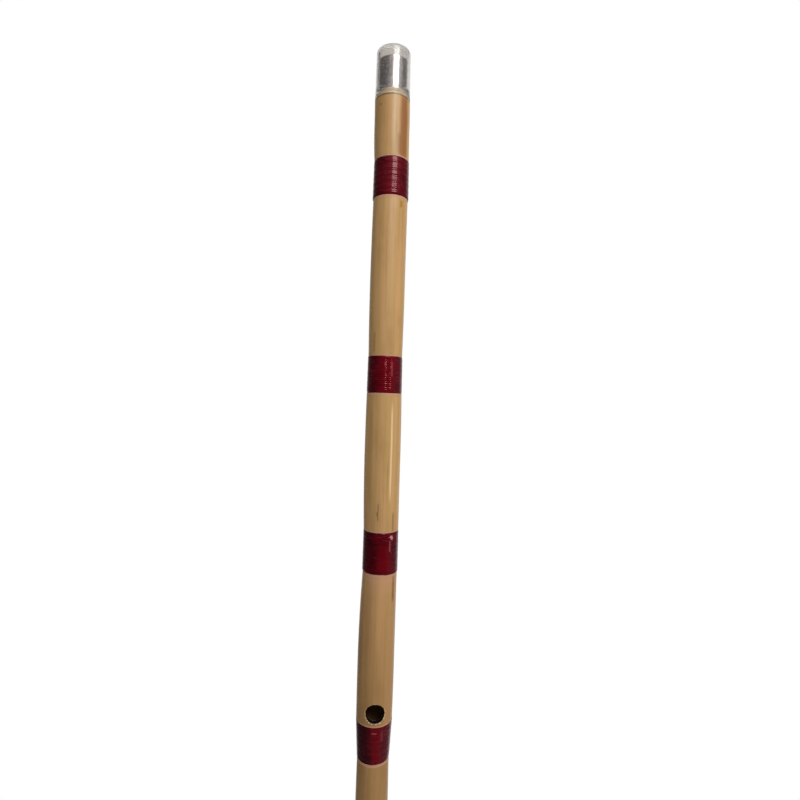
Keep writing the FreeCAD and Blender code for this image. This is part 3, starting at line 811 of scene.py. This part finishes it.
lacquer, nodes, position = new_material("lacquered_thread")
soak = nodes.noise(nodes.stretched(position, 1.0, 1.0, 0.5), 150.0, 3.0, 0.55)
patchy = nodes.noise(nodes.stretched(position, 1.0, 1.0, 2.0), 260.0, 2.0)
tint = nodes.mix(nodes.ramp(soak, 0.32, 0.68), MAROON_DEEP, MAROON)
tint = nodes.mix(nodes.ramp(patchy, 0.5, 0.75, 0.0, 0.5), tint, MAROON_RED_AND_SHEEN)
# Painted sheen: faint pale lines along the turns, where the ribs catch the light
rib_sheen = nodes.noise(nodes.stretched(position, 0.1, 0.1, 1.0), 2100.0, 2.0)
tint = nodes.mix(nodes.ramp(rib_sheen, 0.55, 0.75, 0.0, 0.25), tint, PAINTED_GLINT_PINK)
# Painted shade, sheen and glints
tint = tinted_by_marks(nodes, position, tint, LACQUER_PAINTED_LIGHT)
# The thread's two plies show as a fine twist
twist = nodes.math("ADD", nodes.math("MULTIPLY", nodes.stored("length"), 2 * math.pi / PLY_PITCH),
                   nodes.math("MULTIPLY", nodes.stored("lay"), 2 * math.pi * PLIES))
twist = nodes.math("SINE", twist)
ripples = nodes.noise(nodes.stretched(position, 0.4, 0.4, 1.0), 420.0, 2.0)
relief = nodes.math("ADD", nodes.math("MULTIPLY", twist, 0.03), ripples)
roughness = nodes.ramp(soak, 0.3, 0.7, 0.42, 0.54)
nodes.principled(tint, roughness, relief, 0.6, 0.1, {
    "Specular IOR Level": 0.65, "Specular Tint": SHEEN_RED, "Coat Weight": 0.33, "Coat Roughness": 0.07,
})

for number, band in enumerate(bands, start=1):
    strand = make_piece(f"wound_thread_{number}", [wound_thread(number, band)], 45.0)
    bed = make_piece(f"lacquer_bed_{number}", [lacquer_bed(number, band)], 60.0)
    for piece, slot in ((strand, "binding_thread"), (bed, "binding_core")):
        piece.data.materials.append(lacquer)
        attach(piece, "flute")
        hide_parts(f"{slot}_{number}")


# The mouthpiece tube is a short thin aluminium tube, turned and polished, with a bevelled rim for
# the lip. It is pushed into its seat in the cane and stays there.
METAL_RADIUS, METAL_BORE_RADIUS = 8.2, 7.5
RIM_HEIGHT, RIM_BEVEL_WIDTH, RIM_BEVEL_HEIGHT, RIM_EDGE = 640.0, 0.4, 1.2, 0.2

metal_outline = (
    [(METAL_BORE_RADIUS, SEAT_HEIGHT), (METAL_RADIUS - 0.1, SEAT_HEIGHT)]
    + [(METAL_RADIUS, height) for height in np.linspace(SEAT_HEIGHT + 0.1, RIM_HEIGHT - RIM_EDGE, 40)]
    + arc((METAL_RADIUS - RIM_EDGE, RIM_HEIGHT - RIM_EDGE), RIM_EDGE, 0, 90, 5)
    + arc((METAL_BORE_RADIUS + RIM_BEVEL_WIDTH, RIM_HEIGHT - 0.1), 0.1, 90, 160, 4)
    + [(METAL_BORE_RADIUS, height) for height in np.linspace(RIM_HEIGHT - RIM_BEVEL_HEIGHT, SEAT_HEIGHT, 30)]
)
metal_sheet = turned_sheet(metal_outline)
metal_sheet["values"] = {}
metal_piece = make_piece("metal_tube", [metal_sheet], 50.0)
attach(metal_piece, "flute")
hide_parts("mouthpiece_tube")

# Fine wear: hairline scratches that run every way, and a faint film of handling
wear_tree, wear, given, result = new_group(
    "handling_wear", {"Position": "Vector", "Scale": "Float"},
    {"Scratches": "Float", "Film": "Float"},
)
scratches = 0.0
for turn in ((0.3, 0.2, 0.5), (1.2, 0.9, 2.1), (2.3, 1.7, 0.4)):
    turned = wear.add("ShaderNodeMapping", i_Vector=given["Position"], i_Rotation=turn,
                      i_Scale=(1.0, 0.03, 1.0)).outputs[0]
    lines = wear.add("ShaderNodeTexNoise", i_Vector=turned, i_Scale=given["Scale"], i_Detail=3.0)
    scratches = wear.math("ADD", scratches, wear.ramp(lines.outputs["Fac"], 0.64, 0.7))
film_scale = wear.math("MULTIPLY", given["Scale"], 0.08)
film = wear.add("ShaderNodeTexNoise", i_Vector=given["Position"], i_Scale=film_scale, i_Detail=4.0)
wear.tree.links.new(scratches, result["Scratches"])
wear.tree.links.new(film.outputs["Fac"], result["Film"])

polished, nodes, position = new_material("polished_aluminium")
worn = nodes.add("ShaderNodeGroup", {"node_tree": wear_tree}, i_Position=position, i_Scale=2200.0)
rings = nodes.noise(nodes.stretched(position, 0.02, 0.02, 1.0), 9000.0, 2.0)
shade = nodes.mix(nodes.ramp(worn.outputs["Film"], 0.4, 0.7), colour(226, 224, 226),
                  colour(202, 198, 200))
roughness = nodes.math("ADD", nodes.ramp(worn.outputs["Film"], 0.3, 0.7, 0.1, 0.2),
                       nodes.math("MULTIPLY", worn.outputs["Scratches"], 0.08))
relief = nodes.math("ADD", rings, nodes.math("MULTIPLY", worn.outputs["Scratches"], 0.5))
nodes.principled(shade, roughness, relief, 0.12, 0.02, {"Metallic": 1.0})
metal_piece.data.materials.append(polished)


# The cap is a moulded cup of clear plastic with a small lip at its mouth. It is pushed over the
# metal tube as far as the cane's shoulder, grips the spigot, and slides off.
CAP_LOW, CAP_HIGH = (corner.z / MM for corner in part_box("mouthpiece_cap"))
CAP_MOUTH_RADIUS, CAP_TOP_RADIUS, CAP_TOP_ROUND, CAP_INNER_ROUND = 10.35, 10.15, 1.0, 0.8
CAP_LIP_RADIUS, CAP_LIP_HEIGHT, CAP_LIP_ROUND = 10.48, 2.3, 0.2
CAP_SOCKET_RADIUS, CAP_SOCKET_DEPTH, CAP_SOCKET_STEP = 8.85, 4.0, 0.5
CAP_INNER_RADIUS, CAP_INNER_TOP_RADIUS, CAP_END_WALL = 8.47, 8.42, 1.6

cap_inner_top = CAP_HIGH - CAP_END_WALL
cap_step_top = CAP_LOW + CAP_SOCKET_DEPTH + CAP_SOCKET_STEP
lip_top = CAP_LOW + CAP_LIP_HEIGHT
mouth_round = CAP_LOW + CAP_LIP_ROUND
cap_outline = (
    [(0.0, CAP_HIGH), (4.0, CAP_HIGH)]
    + arc((CAP_TOP_RADIUS - CAP_TOP_ROUND, CAP_HIGH - CAP_TOP_ROUND), CAP_TOP_ROUND, 90, 2, 10)
    + [(CAP_TOP_RADIUS + (CAP_MOUTH_RADIUS - CAP_TOP_RADIUS) * share,
        CAP_HIGH - CAP_TOP_ROUND + (lip_top + 0.3 - CAP_HIGH + CAP_TOP_ROUND) * share)
       for share in np.linspace(0.05, 1, 16)]
    + [(CAP_MOUTH_RADIUS + 0.06, lip_top + 0.05)]
    + arc((CAP_LIP_RADIUS - CAP_LIP_ROUND, lip_top - CAP_LIP_ROUND), CAP_LIP_ROUND, 60, 0, 4)
    + arc((CAP_LIP_RADIUS - CAP_LIP_ROUND, mouth_round), CAP_LIP_ROUND, 0, -90, 4)
    + arc((CAP_SOCKET_RADIUS + CAP_LIP_ROUND, mouth_round), CAP_LIP_ROUND, 270, 180, 4)
    + [(CAP_SOCKET_RADIUS, CAP_LOW + CAP_SOCKET_DEPTH)]
    + [(CAP_INNER_RADIUS + (CAP_INNER_TOP_RADIUS - CAP_INNER_RADIUS) * share,
        cap_step_top + (cap_inner_top - CAP_INNER_ROUND - cap_step_top) * share)
       for share in np.linspace(0, 1, 12)]
    + arc((CAP_INNER_TOP_RADIUS - CAP_INNER_ROUND, cap_inner_top - CAP_INNER_ROUND),
          CAP_INNER_ROUND, 0, 90, 6)[1:]
    + [(4.0, cap_inner_top), (0.0, cap_inner_top)]
)
cap_sheet = turned_sheet(cap_outline)
cap_sheet["values"] = {}
cap_piece = make_piece("clear_cup", [cap_sheet], 50.0)
cap_piece.visible_shadow = False
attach(cap_piece, "cap")
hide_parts("mouthpiece_cap")

# The moulded lip and the crown's rounded edge are left dull by the mould
LIP_CREAM = colour(198, 190, 176)

plastic, nodes, position = new_material("clear_plastic")
worn = nodes.add("ShaderNodeGroup", {"node_tree": wear_tree}, i_Position=position, i_Scale=1700.0)
level = nodes.add("ShaderNodeSeparateXYZ", i_0=position).outputs[2]
lip = nodes.ramp(level, lip_top * MM, (lip_top + 0.5) * MM, 1.0, 0.0)
crown = nodes.ramp(level, (CAP_HIGH - 2.5) * MM, (CAP_HIGH - 0.5) * MM)
shade = nodes.mix(nodes.ramp(worn.outputs["Film"], 0.4, 0.7), colour(224, 221, 217),
                  colour(214, 210, 205))
shade = nodes.mix(lip, shade, LIP_CREAM)
roughness = nodes.math("ADD", nodes.ramp(worn.outputs["Film"], 0.3, 0.7, 0.1, 0.2),
                       nodes.math("MULTIPLY", worn.outputs["Scratches"], 0.15))
for dull, share in ((lip, 0.5), (crown, 0.6)):
    roughness = nodes.math("ADD", roughness, nodes.math("MULTIPLY", dull, share), clamp=True)
flow = nodes.noise(nodes.stretched(position, 1.0, 1.0, 0.3), 240.0, 2.0)
relief = nodes.math("ADD", flow, nodes.math("MULTIPLY", worn.outputs["Scratches"], 0.04))
nodes.principled(shade, roughness, relief, 0.2, 0.1, {"Transmission Weight": 0.95, "IOR": 1.38})
cap_piece.data.materials.append(plastic)


# The stage: a pale round floor under the foot that fades out into white, a dark surround that
# only shows in reflections, a large soft lamp in front and above, a weaker one on the right, and
# one behind that lights the back.
FLOOR_RADIUS = 0.2
# Each lamp: place, what it is aimed at, width and height, power
LAMPS = {
    "key_lamp": ((0.30, -0.69, 1.10), (0, 0, 0.5), (0.43, 0.4), 5.5),
    "side_lamp": ((0.80, -0.42, 0.30), (0, 0, 0.35), (0.4, 0.7), 2.6),
    "back_lamp": ((-0.20, 0.90, 0.75), (0, 0, 0.35), (0.5, 0.6), 3.2),
}
AMBIENT = 0.35

floor_points = np.array([[-1, -1, 0], [1, -1, 0], [1, 1, 0], [-1, 1, 0]]) * FLOOR_RADIUS
floor_mesh = bpy.data.meshes.new("floor")
floor_mesh.from_pydata(floor_points.tolist(), [], [(0, 1, 2, 3)])
floor = bpy.data.objects.new("floor", floor_mesh)
bpy.context.scene.collection.objects.link(floor)
pale, nodes, position = new_material("pale_floor")
reach = nodes.add("ShaderNodeVectorMath", {"operation": "LENGTH"}, i_0=position).outputs["Value"]
shader = nodes.add("ShaderNodeBsdfDiffuse", i_Color=(0.86, 0.86, 0.86, 1.0))
clear = nodes.add("ShaderNodeBsdfTransparent")
blend = nodes.add("ShaderNodeMixShader", i_0=nodes.ramp(reach, 0.5 * FLOOR_RADIUS, FLOOR_RADIUS),
                  i_1=shader.outputs[0], i_2=clear.outputs[0])
nodes.add("ShaderNodeOutputMaterial", i_Surface=blend.outputs[0])
floor_mesh.materials.append(pale)

# The surround: an upright wall round the flute, behind the lamps and open at the back
SURROUND_RADIUS, SURROUND_LOW, SURROUND_HIGH = 1.6, -3.0, 3.0
SURROUND_START, SURROUND_END = -140, 128
angle = np.radians(np.linspace(SURROUND_START, SURROUND_END, 65))
height = np.array([SURROUND_LOW, SURROUND_HIGH])[:, None]
points = round_points(SURROUND_RADIUS, angle, height)
surround_mesh = bpy.data.meshes.new("surround")
surround_mesh.from_pydata(points.reshape(-1, 3).tolist(), [],
                          grid_quads(2, len(angle), False).tolist())
surround_mesh.transform(VIEW_TURN)
surround = bpy.data.objects.new("surround", surround_mesh)
bpy.context.scene.collection.objects.link(surround)
surround.visible_camera = False
surround.visible_diffuse = False
surround.visible_shadow = False
# It is lit round the key lamp: towards the left it fades slowly, and quickly to the right. Its far
# left end is a little lighter again.
dim, nodes, position = new_material("dim_surround")
place = nodes.add("ShaderNodeSeparateXYZ", i_0=position).outputs
around = nodes.math("ARCTAN2", place[0], nodes.math("MULTIPLY", place[1], -1.0))
left = nodes.add("ShaderNodeMapRange", i_Value=around, i_1=math.radians(-82),
                 i_2=math.radians(-10)).outputs[0]
right = nodes.ramp(around, math.radians(50), math.radians(86), 1.0, 0.0)
glow = nodes.math("MULTIPLY", nodes.math("POWER", left, 1.9), right)
glow = nodes.math("MULTIPLY", glow, nodes.ramp(place[2], 1.1, 1.65, 0.0, 0.7))
glow = nodes.math("ADD", glow, nodes.ramp(around, math.radians(-122), math.radians(-90), 0.05, 0.0))
# Low down on the right it gives the lacquer a faint sheen
sheen = nodes.math("MULTIPLY", nodes.ramp(around, math.radians(30), math.radians(60)),
                   nodes.ramp(around, math.radians(85), math.radians(120), 1.0, 0.0))
sheen = nodes.math("MULTIPLY", sheen, nodes.ramp(place[2], 0.7, 1.2, 0.2, 0.0))
glow = nodes.math("ADD", nodes.math("ADD", glow, sheen), 0.045)
# Straight through the clear cap it looks as white as the background
bounces = nodes.add("ShaderNodeLightPath").outputs["Glossy Depth"]
glow = nodes.math("MAXIMUM", glow, nodes.math("LESS_THAN", bounces, 0.5))
shader = nodes.add("ShaderNodeEmission", i_Color=(1.0, 0.92, 0.95, 1.0), i_Strength=glow)
nodes.add("ShaderNodeOutputMaterial", i_Surface=shader.outputs[0])
dim.cycles.emission_sampling = "NONE"
surround_mesh.materials.append(dim)

for name, (place, aim, size, power) in LAMPS.items():
    lamp = bpy.data.objects.new(name, bpy.data.lights.new(name, "AREA"))
    lamp.data.shape = "RECTANGLE"
    lamp.data.size, lamp.data.size_y = size
    lamp.data.energy = power
    lamp.visible_glossy = name == "key_lamp"
    lamp.visible_transmission = name != "back_lamp"
    facing = (Vector(aim) - Vector(place)).to_track_quat("-Z", "Y").to_matrix().to_4x4()
    lamp.matrix_world = VIEW_TURN @ Matrix.Translation(place) @ facing
    bpy.context.scene.collection.objects.link(lamp)

world = bpy.data.worlds.new("white_room")
world.use_nodes = True
world.node_tree.nodes.clear()
nodes = Nodes(world.node_tree)
path = nodes.add("ShaderNodeLightPath").outputs
seen = nodes.math("MAXIMUM", path["Is Camera Ray"], nodes.math(
    "MAXIMUM", path["Is Glossy Ray"], path["Is Transmission Ray"]))
strength = nodes.add("ShaderNodeMapRange", i_Value=seen, i_3=AMBIENT, i_4=1.0).outputs[0]
background = nodes.add("ShaderNodeBackground", i_Color=(1.0, 1.0, 1.0, 1.0), i_Strength=strength)
nodes.add("ShaderNodeOutputWorld", i_Surface=background.outputs[0])
bpy.context.scene.world = world
bpy.context.scene.view_settings.view_transform = "Standard"
